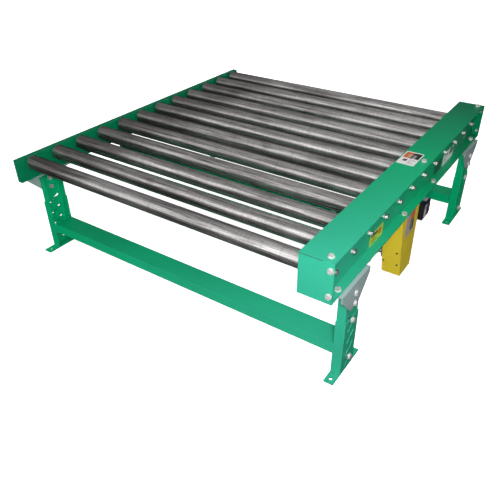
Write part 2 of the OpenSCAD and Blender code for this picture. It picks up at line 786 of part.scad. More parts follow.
module motor_rear_bell()
    color("steelblue") translate([gearbox_x, 0, worm_z]) difference() {
        bar_y(motor_d, motor_y1, motor_y1 + rear_bell_len);
        bar_y(40.04, motor_y1 - 1, motor_y1 + 13.1);
        bar_y(24, motor_y1, motor_y1 + rear_bell_len + 1);
    }

module motor_fan_cover()
    color("slategray") translate([gearbox_x, 0, worm_z]) difference() {
        bar_y(motor_d + 3, fan_y0, fan_y0 + fan_len);
        bar_y(motor_d, fan_y0 - 1, fan_y0 + fan_len - 1.5);
        for (ring = [[14, 6], [28, 12], [42, 18], [56, 24]], k = [0 : ring[1] - 1])
            rotate([0, k * 360 / ring[1], 0]) translate([ring[0], fan_y0 + fan_len, 0]) bar_y(7, -3, 1);
    }

module motor_fan()
    color("black") translate([gearbox_x, 0, worm_z]) difference() {
        union() {
            bar_y(44, fan_y0 + 6, fan_y0 + 32);
            bar_y(136, fan_y0 + 6, fan_y0 + 9);
            for (k = [0 : 5]) rotate([0, 60 * k, 0]) block([20, fan_y0 + 8, -1.5], [66, fan_y0 + 30, 1.5]);
        }
        bar_y(18.02, fan_y0, fan_y0 + 40);
    }

module motor_rotor()
    color("silver") translate([gearbox_x, 0, worm_z]) {
        bar_y(90, motor_y0 + 42, motor_y1 - 38);
        bar_y(20, rotor_bearing_y[0] - 0.5, motor_y1 + 14);
        bar_y(motor_shaft_d, output_y + 16, rotor_bearing_y[0] + 1);
        bar_y(18, motor_y1 + 13, fan_y0 + 34);
    }

// An electrical box on the motor's inboard side, with its lid and a cable entry in its underside.
conduit_size = [48, 92, 92];
conduit_wall = 3;
module conduit_box() {
    w = conduit_size[1] / 2;
    h = conduit_size[2] / 2;
    x0 = gearbox_x - motor_d / 2 - conduit_size[0] + 8;
    color("dimgray") translate([x0, motor_y0 + motor_len / 2, worm_z]) {
        difference() {
            block([0, -w, -h], [conduit_size[0] - 8, w, h]);
            block([-1, conduit_wall - w, conduit_wall - h],
                [conduit_size[0] - 12, w - conduit_wall, h - conduit_wall]);
            translate([20, 0, -conduit_size[2]]) cylinder(d = 22.2, h = conduit_size[2]);
            bar_x(22, 20, 60);
        }
        block([-3, -w - 1, -h - 1], [0, w + 1, h + 1]);
    }
}

// ---- Starter ----

starter = [[half_w - 64, 100, frame_z - 152], [half_w - 14, 184, frame_z - 83]];
bracket_y = [153, 193];
starter_wall = 2.5;
bracket_t = 3;

module starter_box()
    color("black") difference() {
        block(starter[0], starter[1] - [4, 0, 0]);
        block(starter[0] + starter_wall * [1, 1, 1], starter[1] - [3, starter_wall, starter_wall]);
        translate([(starter[0][0] + starter[1][0]) / 2, starter[0][1] + 30, starter[0][2] - 1])
            cylinder(d = 20.4, h = 10);
    }

module starter_lid()
    color("black") {
        block([starter[1][0] - 4, starter[0][1], starter[0][2]], starter[1]);
        for (z = [26, 50]) translate([starter[1][0], starter[0][1] + 62, starter[0][2] + z]) bar_x(16, -1, 5);
    }

module starter_bracket()
    color("slategray") {
        x0 = starter[0][0] + 6;
        difference() {
            block([x0, bracket_y[0], frame_z - bracket_t], [half_w - 3, bracket_y[1], frame_z]);
            translate([bolt_x(), head_up_y()[2], frame_z]) drill(flange_hole_d, bracket_t);
        }
        block([x0, bracket_y[0], starter[1][2]], [x0 + bracket_t, bracket_y[1], frame_z - 2]);
        block([x0, bracket_y[0], starter[1][2] + 0.02],
            [x0 + 34, starter[1][1] - 1, starter[1][2] + bracket_t]);
    }

// ---- Supports ----

// Places a drawing made for the +X leg of a support: the -X leg is the same part turned round.
module stand_side(s, sy) translate([0, sy * stand_y, 0]) rotate([0, 0, s > 0 ? 0 : 180]) children();

// A leg channel with its web outboard, its outer face at x, and diagonal slots from height z0 up.
module leg_channel(x, w, depth, t, z, z0, tilt)
    difference() {
        block([x - depth, -w / 2, z[0]], [x, w / 2, z[1]]);
        block([x - depth - 1, -w / 2 + t, z[0] - 1], [x - t, w / 2 - t, z[1] + 1]);
        for (k = [0 : slot_count - 1])
            translate([0, 0, z0 + k * slot_pitch])
                plate_x_dir(x - t - 1, t + 2) rotate(tilt) slot_2d(slot_len, slot_w);
    }

// Points along an arc about c, from angle a0 to a1.
function arc(c, r, a0, a1, n = 6) =
    [for (i = [0 : n]) let (a = a0 + (a1 - a0) * i / n) c + r * [cos(a), sin(a)]];

// The outline of a pivot plate below the frame, with y = 0 on the leg's middle and z = 0 at the frame.
module pivot_plate_2d() {
    r = 12;
    slope = atan((plate_drop - plate_edge) / (plate_half - plate_low));
    polygon(concat(
        [[-plate_half, 0]],
        arc([-plate_half + r, -plate_edge + r * 0.3], r, 180, 270 - slope),
        arc([-plate_low + 4, -plate_drop + r], r, 270 - slope, 270),
        arc([plate_low - 4, -plate_drop + r], r, 270, 270 + slope),
        arc([plate_half - r, -plate_edge + r * 0.3], r, 270 + slope, 360),
        [[plate_half, 0]]
    ));
}

// The arc slot, with end circles that cut cleanly through its edges.
module tilt_slot_2d()
    translate([0, pivot_z - frame_z]) {
        intersection() {
            difference() {
                circle(r = tilt_r + tilt_slot_r - 0.08);
                circle(r = tilt_r - tilt_slot_r + 0.08);
            }
            polygon([[0, 0], for (s = [-1, 1]) 2 * tilt_r * [s * sin(tilt_range), -cos(tilt_range)]]);
        }
        for (s = [-1, 1]) translate(tilt_r * [s * sin(tilt_range), -cos(tilt_range)]) circle(r = tilt_slot_r);
    }

module pivot_plates()
    color("slategray") for (s = [-1, 1], sy = [-1, 1]) stand_side(s, sy) difference() {
        union() {
            translate([0, 0, frame_z]) plate_x_dir(plate_x, plate_t) pivot_plate_2d();
            block([half_w - 32, -plate_half, frame_z - plate_t], [plate_x + plate_t, plate_half, frame_z]);
        }
        translate([0, 0, frame_z]) plate_x_dir(plate_x - 1, plate_t + 2) tilt_slot_2d();
        translate([0, 0, pivot_z]) bar_x(12.4, plate_x - 1, plate_x + plate_t + 1);
        translate([0, s * 38, pivot_z - 12]) bar_x(9, plate_x - 1, plate_x + plate_t + 1);
        for (sy = [-1, 1]) translate([bolt_x(s), sy * stand_bolt_y, frame_z]) drill(flange_hole_d, plate_t);
    }

module upper_legs(sy)
    color("mediumseagreen") for (s = [-1, 1]) stand_side(s, sy) difference() {
        leg_channel(upper_x, upper_w, leg_depth - leg_t - 1.3, leg_t, upper_z, upper_slot_z0, upper_slot_tilt);
        translate([0, 0, pivot_z]) bar_x(12.4, upper_x - leg_t - 1, upper_x + 1);
        translate([0, 0, pivot_z - tilt_r]) bar_x(12.4, upper_x - leg_t - 1, upper_x + 1);
    }

// The lower legs, each welded to its foot plate. A round hole near the top takes the upper bolt.
module lower_legs(sy)
    color("mediumseagreen") for (s = [-1, 1]) stand_side(s, sy) {
        difference() {
            leg_channel(leg_x, leg_w, leg_depth, leg_t, [foot_t - 0.5, lower_leg_h], slot_z0, slot_tilt);
            translate([0, 0, top_bolt_z]) bar_x(slot_w, leg_x - leg_t - 1, leg_x + 1);
        }
        difference() {
            block([leg_x - foot_w, -foot_len / 2, 0], [leg_x, foot_len / 2, foot_t]);
            for (y = [-anchor_y, anchor_y]) translate([leg_x - foot_w / 2, y, foot_t]) drill(anchor_d, foot_t);
        }
    }

// An upside-down channel between the lower legs.
module crossmember(sy)
    color("mediumseagreen") translate([0, sy * stand_y, 0]) difference() {
        block([-leg_x + leg_depth, -cross_w / 2, cross_z[0]], [leg_x - leg_depth, cross_w / 2, cross_z[1]]);
        block([-leg_x, -cross_w / 2 + leg_t, cross_z[0] - 1],
            [leg_x, cross_w / 2 - leg_t, cross_z[1] - leg_t]);
    }

// Height bolts, one in the lowest slot and one in the top hole. Their shanks end in the lower leg's web.
module leg_bolts(sy)
    color("gainsboro") for (s = [-1, 1]) stand_side(s, sy)
        for (p = [[low_bolt_y, slot_z0 + low_bolt_y * tan(slot_tilt)], [0, top_bolt_z]])
            translate([leg_x, p[0], p[1]]) rotate([0, 90, 0]) hex_bolt(10.6, leg_t - 0.2, 18, 7, 24);

// Tilt bolts, which ride with the upper legs in the arc slots of the pivot plates.
module tilt_bolts(sy)
    color("gainsboro") for (s = [-1, 1]) stand_side(s, sy) pivot_bolt(pivot_z - tilt_r);

drive_side_channel();
idler_side_channel();
end_plates();
bed_cross_angles();
chain_cover();
chain_pan();
cover_screws();
frame_bolts();
roller_axles();
roller_bearings();
roll_chains();
drive_chain();
drive_guard_shell();
drive_guard_back();
shaft_support_bearing();
drive_base_plate();
drive_hangers();
gearbox_housing();
gearbox_side_cover();
drive_bearings();
shaft_seals();
gearbox_bolts();
motor_face_bell();
motor_housing();
motor_stator();
motor_rear_bell();
motor_fan_cover();
conduit_box();
starter_box();
starter_lid();
starter_bracket();
worm_wheel();
output_shaft();
output_sprocket();
worm_shaft();
motor_rotor();
motor_fan();
pivot_plates();
upper_legs(-1);  // front_upper_legs
tilt_bolts(-1);  // front_tilt_bolts
lower_legs(-1);  // front_lower_legs
crossmember(-1);  // front_crossmember
leg_bolts(-1);  // front_leg_bolts
upper_legs(1);  // rear_upper_legs
tilt_bolts(1);  // rear_tilt_bolts
lower_legs(1);  // rear_lower_legs
crossmember(1);  // rear_crossmember
leg_bolts(1);  // rear_leg_bolts
for (i = [0 : roller_count - 1])
    roller(i);
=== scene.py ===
"""Looks of the chain driven roller conveyor and its gearmotor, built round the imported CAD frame."""
import json
import math
import random

import bmesh
import bpy
from mathutils import Matrix, Vector


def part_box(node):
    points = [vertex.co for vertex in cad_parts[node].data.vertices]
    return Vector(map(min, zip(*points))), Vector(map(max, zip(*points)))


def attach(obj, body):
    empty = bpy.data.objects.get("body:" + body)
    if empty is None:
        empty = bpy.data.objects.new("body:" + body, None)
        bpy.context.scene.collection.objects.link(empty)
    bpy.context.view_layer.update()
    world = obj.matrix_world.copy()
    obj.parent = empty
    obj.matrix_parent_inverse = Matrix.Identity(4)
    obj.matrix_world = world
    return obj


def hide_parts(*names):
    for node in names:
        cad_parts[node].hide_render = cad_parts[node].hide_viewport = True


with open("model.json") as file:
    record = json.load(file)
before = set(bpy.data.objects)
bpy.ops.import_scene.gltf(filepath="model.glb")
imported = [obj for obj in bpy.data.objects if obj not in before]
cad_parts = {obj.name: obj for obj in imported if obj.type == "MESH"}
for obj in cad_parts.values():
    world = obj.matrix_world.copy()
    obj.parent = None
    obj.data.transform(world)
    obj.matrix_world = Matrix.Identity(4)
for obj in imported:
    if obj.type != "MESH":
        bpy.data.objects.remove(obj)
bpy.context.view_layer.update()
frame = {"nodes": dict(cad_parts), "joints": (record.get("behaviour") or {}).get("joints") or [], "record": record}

MM = 0.001
NODES = frame["nodes"]
RECORD = frame["record"]
JOINTS = {j["name"]: j for j in frame["joints"]}

# ---- Sizes taken from the frame ----

ROLLERS = sorted(n for n in NODES if n.startswith("roller_") and n[-2:].isdigit())
ROLLER_AXIS = [Vector(JOINTS[n + "_spin"]["pos_m"]) for n in ROLLERS]
MOTOR_AXIS = Vector(JOINTS["motor_spin"]["pos_m"])
OUTPUT_AXIS = Vector(JOINTS["output_spin"]["pos_m"])
PITCH = 19.05 * MM
ROLLER_TEETH = 16
OUTPUT_TEETH = 12
COVER_LOW, COVER_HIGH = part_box("chain_cover")
WEB_LOW, WEB_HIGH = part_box("drive_side_channel")
GUARD_LOW, GUARD_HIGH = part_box("drive_guard_shell")
LANES = [COVER_LOW.x + (15.6 + 27 * k) * MM for k in range(3)]
DRIVE_ROLLER = 5
WEB_THICK = 4.8 * MM
COVER_THICK = 2.4 * MM
LID_THICK = 4 * MM


# ---- Materials ----

def toned(colour, share):
    """The same hue at a share of its brightness."""
    return tuple(c * share for c in colour)


class Shader:
    """A material's node tree, with short ways to add its nodes."""

    def __init__(self, name):
        self.material = bpy.data.materials.new(name)
        self.material.use_nodes = True
        self.tree = self.material.node_tree
        self.bsdf = self.tree.nodes["Principled BSDF"]
        self.place = self.add("ShaderNodeTexCoord").outputs["Object"]

    def add(self, kind, **values):
        node = self.tree.nodes.new(kind)
        for key, value in values.items():
            setattr(node, key, value)
        return node

    def link(self, source, socket):
        self.tree.links.new(source, socket)

    def stretched(self, scale, place=None):
        node = self.add("ShaderNodeMapping")
        self.link(place or self.place, node.inputs["Vector"])
        node.inputs["Scale"].default_value = scale
        return node.outputs["Vector"]

    def noise(self, scale, detail=3.0, rough=0.5, stretch=(1, 1, 1), place=None):
        node = self.add("ShaderNodeTexNoise")
        self.link(self.stretched(stretch, place), node.inputs["Vector"])
        node.inputs["Scale"].default_value = scale
        node.inputs["Detail"].default_value = detail
        node.inputs["Roughness"].default_value = rough
        return node.outputs["Fac"]

    def ramp(self, source, low, high, start=0.0, end=1.0):
        node = self.add("ShaderNodeMapRange")
        self.link(source, node.inputs["Value"])
        node.inputs["From Min"].default_value = low
        node.inputs["From Max"].default_value = high
        node.inputs["To Min"].default_value = start
        node.inputs["To Max"].default_value = end
        return node.outputs["Result"]

    def mix(self, amount, first, second):
        node = self.add("ShaderNodeMix", data_type="RGBA")
        self.link(amount, node.inputs["Factor"])
        for value, socket in ((first, node.inputs["A"]), (second, node.inputs["B"])):
            if isinstance(value, tuple):
                socket.default_value = (*value, 1)
            else:
                self.link(value, socket)
        return node.outputs["Result"]

    def math(self, operation, first, second):
        node = self.add("ShaderNodeMath", operation=operation)
        for value, socket in zip((first, second), node.inputs):
            if isinstance(value, (int, float)):
                socket.default_value = value
            else:
                self.link(value, socket)
        return node.outputs["Value"]

    def axis(self, letter, place=None):
        node = self.add("ShaderNodeSeparateXYZ")
        self.link(place or self.place, node.inputs["Vector"])
        return node.outputs[letter]

    def bump(self, height, distance, strength=1.0):
        node = self.add("ShaderNodeBump")
        node.inputs["Distance"].default_value = distance
        node.inputs["Strength"].default_value = strength
        self.link(height, node.inputs["Height"])
        self.link(node.outputs["Normal"], self.bsdf.inputs["Normal"])

    def edges(self, radius):
        """1 along the worn edges, and 0 on flat faces."""
        soft = self.add("ShaderNodeBevel", samples=4)
        soft.inputs["Radius"].default_value = radius
        flat = self.add("ShaderNodeNewGeometry")
        dot = self.add("ShaderNodeVectorMath", operation="DOT_PRODUCT")
        self.link(soft.outputs["Normal"], dot.inputs[0])
        self.link(flat.outputs["Normal"], dot.inputs[1])
        return self.ramp(dot.outputs["Value"], 0.96, 0.80)

    def set(self, **values):
        for key, value in values.items():
            self.bsdf.inputs[key.replace("_", " ")].default_value = value
        return self


def enamel(name, colour, shade, front_right_painted_light, rough=0.34, worn=0.5, painted_shade=0.0):
    """Sprayed machine enamel: colour drift, painted light towards the front right (a painted sheen on green and
    yellow, a painted shade on grey), specks and chipped edges.

    The last argument sets how much painted shade darkens the top of the bed towards its far end and its idler
    side, and the upward faces of the crossmembers low under the rollers.
    """
    s = Shader(name)
    drift = s.noise(3.0, 4.0)
    base = s.mix(s.ramp(drift, 0.35, 0.68), colour, shade)
    # Painted light towards the front right: the fourth colour is a painted sheen on green and yellow and a painted
    # shade on grey.
    corner = s.math("SUBTRACT", s.math("MULTIPLY", s.axis("X"), 0.5), s.axis("Y"))
    base = s.mix(s.ramp(corner, 0.30, 1.15, 0, 0.26), base, front_right_painted_light)
    # Painted shade: the top of the bed darkens towards its far end and its idler side, where less light reaches.
    far = s.ramp(s.axis("Y"), -0.1, 0.75, 0, 0.85)
    idler = s.ramp(s.axis("X"), -0.25, -0.60, 0, 0.9)
    painted_falloff_shade = s.math("MULTIPLY", s.math("MAXIMUM", far, idler), s.ramp(s.axis("Z"), 0.34, 0.40, 0, painted_shade))
    base = s.mix(painted_falloff_shade, base, toned(colour, 0.3))
    # Painted shade on the upward faces low under the rollers (the crossmember tops), growing towards the idler
    # side.
    normal = s.add("ShaderNodeNewGeometry").outputs["Normal"]
    facing_up = s.ramp(s.axis("Z", normal), 0.6, 0.9, 0, painted_shade * 0.5)
    low = s.math("MULTIPLY", s.ramp(s.axis("Z"), 0.05, 0.10), s.ramp(s.axis("Z"), 0.30, 0.22))
    low = s.math("MULTIPLY", low, s.ramp(s.axis("X"), 0.35, -0.45))
    base = s.mix(s.math("MULTIPLY", facing_up, low), base, toned(colour, 0.3))
    speck = s.noise(340.0, 2.0)
    base = s.mix(s.ramp(speck, 0.69, 0.74, 0, 0.35), base, toned(colour, 0.45))
    chips = s.math("MULTIPLY", s.edges(0.0012), s.ramp(s.noise(95.0, 5.0, 0.7), 0.50, 0.62, 0, worn))
    base = s.mix(chips, base, (0.30, 0.31, 0.30))
    s.link(base, s.bsdf.inputs["Base Color"])
    smear = s.noise(9.0, 5.0, 0.6, stretch=(1, 0.35, 1))
    s.link(s.ramp(smear, 0.3, 0.7, rough - 0.06, rough + 0.12), s.bsdf.inputs["Roughness"])
    peel = s.noise(420.0, 2.0)
    s.bump(peel, 0.00006, 0.6)
    s.set(Specular_IOR_Level=0.10, Coat_Weight=0.02, Coat_Roughness=0.2)
    return s.material


def rolled_steel(name):
    """Bare drawn tube: streaks along it, mill bands round it, blotches, rubbed spots and painted shade at the
    idler ends.
    """
    s = Shader(name)
    streak = s.noise(55.0, 6.0, 0.62, stretch=(0.045, 1, 1))
    fine = s.noise(420.0, 3.0, 0.6, stretch=(0.02, 1, 1))
    blotch = s.noise(6.5, 6.0, 0.62, stretch=(0.8, 1.6, 1.6))
    grain = s.math("ADD", s.math("MULTIPLY", streak, 0.55), s.math("MULTIPLY", fine, 0.45))
    base = s.mix(s.ramp(grain, 0.38, 0.60), (0.17, 0.158, 0.155), (0.84, 0.815, 0.81))
    base = s.mix(s.ramp(blotch, 0.56, 0.70, 0, 0.55), base, (0.15, 0.14, 0.138))
    bands = s.noise(150.0, 2.0, 0.5, stretch=(1, 0.02, 0.02))
    base = s.mix(s.ramp(bands, 0.45, 0.75, 0, 0.30), base, (0.26, 0.25, 0.248))
    scuff = s.noise(16.0, 5.0, 0.7, stretch=(0.5, 2.2, 2.2))
    base = s.mix(s.ramp(scuff, 0.64, 0.72, 0, 0.35), base, (0.58, 0.57, 0.57))
    stain = s.noise(2.4, 4.0, 0.6)
    base = s.mix(s.ramp(stain, 0.60, 0.72, 0, 0.35), base, (0.13, 0.105, 0.085))
    # Painted shade: the tubes darken towards their idler ends.
    base = s.mix(s.ramp(s.axis("X"), -0.34, -0.50, 0, 0.5), base, (0.09, 0.08, 0.078))
    s.link(base, s.bsdf.inputs["Base Color"])
    s.link(s.ramp(fine, 0.3, 0.7, 0.24, 0.38), s.bsdf.inputs["Roughness"])
    s.bump(s.math("ADD", streak, s.math("MULTIPLY", fine, 0.5)), 0.00006, 0.6)
    s.set(Metallic=0.92)
    return s.material


def plated(name, colour=(0.82, 0.80, 0.79), rust_below=0.0):
    """Zinc plated fastener with dull patches. Heads lower than rust_below have lost their plating."""
    s = Shader(name)
    patch = s.noise(160.0, 4.0)
    base = s.mix(s.ramp(patch, 0.38, 0.66), colour, toned(colour, 0.62))
    if rust_below:
        base = s.mix(s.ramp(s.axis("Z"), rust_below + 0.01, rust_below), base, (0.16, 0.085, 0.035))
    s.link(base, s.bsdf.inputs["Base Color"])
    s.link(s.ramp(patch, 0.35, 0.7, 0.34, 0.56), s.bsdf.inputs["Roughness"])
    s.bump(s.noise(900.0, 2.0), 0.00003, 0.5)
    s.set(Metallic=0.55)
    return s.material


def machined(name, colour, rough=0.28, ring=None):
    """Turned or ground metal with fine tool marks."""
    s = Shader(name)
    marks = s.noise(700.0, 3.0, 0.6, stretch=ring or (1, 0.05, 0.05))
    base = s.mix(s.ramp(marks, 0.35, 0.65), colour, toned(colour, 0.7))
    s.link(base, s.bsdf.inputs["Base Color"])
    s.link(s.ramp(marks, 0.3, 0.7, rough - 0.05, rough + 0.14), s.bsdf.inputs["Roughness"])
    s.bump(marks, 0.00004, 0.6)
    s.set(Metallic=1.0)
    return s.material


def oiled(name, colour=(0.085, 0.08, 0.078)):
    """Chain steel under a coat of oil and dust."""
    s = Shader(name)
    grime = s.noise(120.0, 5.0, 0.65)
    base = s.mix(s.ramp(grime, 0.42, 0.66), colour, (0.24, 0.225, 0.21))
    s.link(base, s.bsdf.inputs["Base Color"])
    s.link(s.ramp(grime, 0.35, 0.7, 0.26, 0.55), s.bsdf.inputs["Roughness"])
    s.bump(grime, 0.00012, 0.5)
    s.set(Metallic=0.85)
    return s.material


def cast(name, colour, rough=0.5, grain=210.0):
    """Painted sand casting."""
    s = Shader(name)
    sand = s.noise(grain, 4.0, 0.6)
    drift = s.noise(14.0, 4.0)
    base = s.mix(s.ramp(drift, 0.35, 0.7), colour, toned(colour, 0.68))
    worn = s.math("MULTIPLY", s.edges(0.0015), s.ramp(s.noise(80.0, 4.0), 0.5, 0.62, 0, 0.5))
    base = s.mix(worn, base, (0.35, 0.35, 0.35))
    s.link(base, s.bsdf.inputs["Base Color"])
    s.link(s.ramp(sand, 0.3, 0.7, rough - 0.08, rough + 0.12), s.bsdf.inputs["Roughness"])
    s.bump(sand, 0.00035, 0.55)
    return s.material


def moulded(name, colour, rough=0.42, grain=1500.0):
    """Moulded plastic, rubber or powder coat with a fine grain."""
    s = Shader(name)
    grain_height = s.noise(grain, 2.0)
    dust = s.noise(30.0, 5.0, 0.6)
    base = s.mix(s.ramp(dust, 0.5, 0.75, 0, 0.4), colour, tuple(min(1, c + 0.05) for c in colour))
    s.link(base, s.bsdf.inputs["Base Color"])
    s.link(s.ramp(dust, 0.3, 0.7, rough - 0.05, rough + 0.12), s.bsdf.inputs["Roughness"])
    s.bump(grain_height, 0.00008, 0.5)
    return s.material


def wound(name):
    """Varnished copper coils over a stack of core plates."""
    s = Shader(name)
    plates = s.noise(260.0, 1.0, 0.4, stretch=(0.02, 1, 0.02))
    wires = s.noise(300.0, 2.0, 0.5, stretch=(1, 0.15, 1))
    base = s.mix(s.ramp(wires, 0.4, 0.6), (0.42, 0.17, 0.05), (0.18, 0.06, 0.02))
    s.link(base, s.bsdf.inputs["Base Color"])
    s.bump(s.math("ADD", wires, plates), 0.0004, 0.7)
    s.set(Metallic=0.7, Roughness=0.35)
    return s.material


MATERIALS = {
    # The fourth colour of each enamel is its painted light towards the front right: a painted sheen on green and
    # yellow, a painted shade on grey.
    # The green enamel's last argument is its painted shade on the far end, the idler side and the crossmember
    # tops.
    "green_paint": enamel("green_enamel", (0.002, 0.42, 0.178), (0.002, 0.36, 0.148), (0.11, 0.19, 0.38),
                          painted_shade=0.85),
    "yellow_paint": enamel("yellow_enamel", (0.76, 0.60, 0.042), (0.66, 0.51, 0.036), (1.0, 0.80, 0.06),
                           rough=0.42),
    "grey_paint": enamel("grey_enamel", (0.33, 0.43, 0.42), (0.26, 0.34, 0.335), (0.22, 0.29, 0.31),
                         rough=0.42),
    "drive_paint": cast("drive_enamel", (0.045, 0.10, 0.14), 0.42),
    "cast_iron": cast("painted_iron", (0.042, 0.092, 0.13), 0.48),
    "zinc": plated("zinc_plate"),
    "roller_steel": rolled_steel("drawn_tube"),
    "shaft_steel": machined("ground_steel", (0.66, 0.655, 0.65), 0.42),
    "bearing_steel": machined("pressed_steel", (0.30, 0.30, 0.32), 0.36),
    "chain_steel": oiled("oiled_steel"),
    "bronze": machined("bronze", (0.50, 0.29, 0.085), 0.32),
    "copper_windings": wound("windings"),
    "black_plastic": moulded("black_plastic", (0.012, 0.012, 0.013)),
    "black_steel": moulded("black_coat", (0.010, 0.011, 0.016), 0.32, 800.0),
    "seal_rubber": moulded("rubber", (0.015, 0.015, 0.015), 0.6),
}
SLOT = {part["node"]: part["material_slot"] for part in RECORD["subparts"]}
GUARD_SCREWS_TOP = 335 * MM
OWN_MATERIAL = {"cover_screws": plated("zinc_and_rust", rust_below=GUARD_SCREWS_TOP)}


# ---- CAD nodes ----

def dress(name):
    """Gives a CAD node its material and soft edges."""
    node = NODES[name]
    node.data.materials.clear()
    node.data.materials.append(OWN_MATERIAL.get(name) or MATERIALS[SLOT[name]])
    edge = node.modifiers.new("edge", "BEVEL")
    edge.width = 0.5 * MM
    edge.segments = 2
    edge.limit_method = "ANGLE"
    edge.angle_limit = math.radians(50)
    edge.use_clamp_overlap = True
    for face in node.data.polygons:
        face.use_smooth = True
    normals = node.modifiers.new("normals", "WEIGHTED_NORMAL")
    normals.keep_sharp = True
    node.data.set_sharp_from_angle(angle=math.radians(38))


for name in NODES:
    dress(name)


# ---- Mesh helpers ----

def add_piece(name, mesh, body, slot, material=None, replaces=(), soft_edge=0.0, sharp=38):
    """Makes mesh (a bmesh or a mesh) a named piece that rides on a body."""
    if isinstance(mesh, bmesh.types.BMesh):
        data = bpy.data.meshes.new(name)
        bmesh.ops.recalc_face_normals(mesh, faces=mesh.faces)
        mesh.to_mesh(data)
        mesh.free()
    else:
        data = mesh
    obj = bpy.data.objects.new(name, data)
    bpy.context.scene.collection.objects.link(obj)
    data.materials.append(material or MATERIALS[slot])
    for face in data.polygons:
        face.use_smooth = True
    data.set_sharp_from_angle(angle=math.radians(sharp))
    if soft_edge:
        edge = obj.modifiers.new("edge", "BEVEL")
        edge.width = soft_edge
        edge.segments = 2
        edge.limit_method = "ANGLE"
        edge.angle_limit = math.radians(40)
    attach(obj, body)
    if replaces:
        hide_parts(*replaces)
    return obj


def prism(bm, outline, low, high, place):
    """Extrudes an outline of (u, v) points from low to high; place(u, v, w) gives each point's position."""
    bottom = [bm.verts.new(place(u, v, low)) for u, v in outline]
    top = [bm.verts.new(place(u, v, high)) for u, v in outline]
    bm.faces.new(bottom)
    bm.faces.new(reversed(top))
    for k in range(len(outline)):
        n = (k + 1) % len(outline)
        bm.faces.new((bottom[k], top[k], top[n], bottom[n]))


def round_outline(radius, count=16, centre=(0, 0)):
    turns = [2 * math.pi * k / count for k in range(count)]
    return [(centre[0] + radius * math.cos(t), centre[1] + radius * math.sin(t)) for t in turns]


def card_outline(width, height, corner, steps=4):
    """A rectangle with round corners, centred on the origin."""
    points = []
    for k, (sx, sy) in enumerate(((1, 1), (-1, 1), (-1, -1), (1, -1))):
        for j in range(steps + 1):
            turn = math.pi / 2 * (k + j / steps)
            points.append((sx * (width / 2 - corner) + corner * math.cos(turn),
                           sy * (height / 2 - corner) + corner * math.sin(turn)))
    return points


# ---- Chains ----

def on_wheel(wheel, turn):
    return Vector((wheel[0] + wheel[2] * math.cos(turn), wheel[1] + wheel[2] * math.sin(turn)))


def belt_joints(a, b, teeth_a, teeth_b):
    """The chain's pin places round sprockets a and b, each (y, z, pitch radius)."""
    span = Vector((b[0] - a[0], b[1] - a[1]))
    lie = math.atan2(span.y, span.x)
    lean = math.acos((a[2] - b[2]) / span.length)
    corners = []
    for wheel, turn in ((a, lie + lean), (b, lie + lean), (b, lie - lean), (a, lie - lean)):
        corners.append(on_wheel(wheel, turn))
    steps = round((corners[1] - corners[0]).length / PITCH)
    out = [corners[0].lerp(corners[1], k / steps) for k in range(steps)]
    back = [corners[2].lerp(corners[3], k / steps) for k in range(steps)]

    def arc(wheel, start, sweep, teeth):
        count = round(abs(sweep) / (2 * math.pi / teeth))
        turns = [start + sweep * k / count for k in range(count)]
        return [on_wheel(wheel, t) for t in turns]

    far = arc(b, lie + lean, -2 * lean, teeth_b)
    near = arc(a, lie - lean, -(2 * math.pi - 2 * lean), teeth_a)
    straight = [True] * steps + [False] * len(far) + [True] * steps + [False] * len(near)
    ends = {0, steps, steps + len(far), 2 * steps + len(far)}
    return out + far + back + near, [flag and k not in ends for k, flag in enumerate(straight)]


def link_outline(length, radius, waist):
    """A chain plate's figure-of-eight side, from one pin to the next."""
    open_turn = math.radians(24)
    points = []
    for centre, start in ((length, -math.pi / 2), (0, math.pi / 2)):
        for k in range(7):
            turn = start + open_turn + (math.pi - 2 * open_turn) * k / 6
            points.append((centre + radius * math.cos(turn), radius * math.sin(turn)))
        points.append((length / 2, waist if centre else -waist))
    return points


INNER_PLATES, OUTER_PLATES = (6.5 * MM, 8.4 * MM), (8.7 * MM, 10.6 * MM)
PIN_END = (8.6 * MM, 10.98 * MM)
PIN_R, LINK_ROLLER_R, LINK_ROLLER_HALF = 3.0 * MM, 5.9 * MM, 6.3 * MM
PLATE_R, PLATE_WAIST = 8.4 * MM, 6.0 * MM


def add_chain(bm, lane, a, b, teeth_a, teeth_b):
    """One loop: inner and outer plates in turn, pin ends, and link rollers on the straight spans."""
    joints, free = belt_joints(a, b, teeth_a, teeth_b)
    for k, joint in enumerate(joints):
        along = joints[(k + 1) % len(joints)] - joint
        length = along.length
        along.normalize()
        plates = (INNER_PLATES, OUTER_PLATES)[k % 2]

        def place(u, v, w):
            return (lane + w, joint.x + u * along.x - v * along.y, joint.y + u * along.y + v * along.x)

        for side in (-1, 1):
            prism(bm, link_outline(length, PLATE_R, PLATE_WAIST), *sorted(side * x for x in plates), place)
            prism(bm, round_outline(PIN_R, 10), *sorted(side * x for x in PIN_END), place)
        if free[k]:
            prism(bm, round_outline(LINK_ROLLER_R, 16), -LINK_ROLLER_HALF, LINK_ROLLER_HALF, place)


def wheel_at(axis, teeth):
    return (axis.y, axis.z, PITCH / 2 / math.sin(math.pi / teeth))


def add_chains():
    bm = bmesh.new()
    for k in range(len(ROLLERS) - 1):
        ends = [wheel_at(ROLLER_AXIS[k + j], ROLLER_TEETH) for j in (0, 1)]
        add_chain(bm, LANES[k % 2], *ends, ROLLER_TEETH, ROLLER_TEETH)
    add_piece("roller_chains", bm, "bed", "chain_steel", replaces=["roll_chains"])
    bm = bmesh.new()
    ends = (wheel_at(OUTPUT_AXIS, OUTPUT_TEETH), wheel_at(ROLLER_AXIS[DRIVE_ROLLER], ROLLER_TEETH))
    add_chain(bm, LANES[2], *ends, OUTPUT_TEETH, ROLLER_TEETH)
    add_piece("gearmotor_chain", bm, "bed", "chain_steel", replaces=["drive_chain"])


add_chains()


# ---- Labels ----

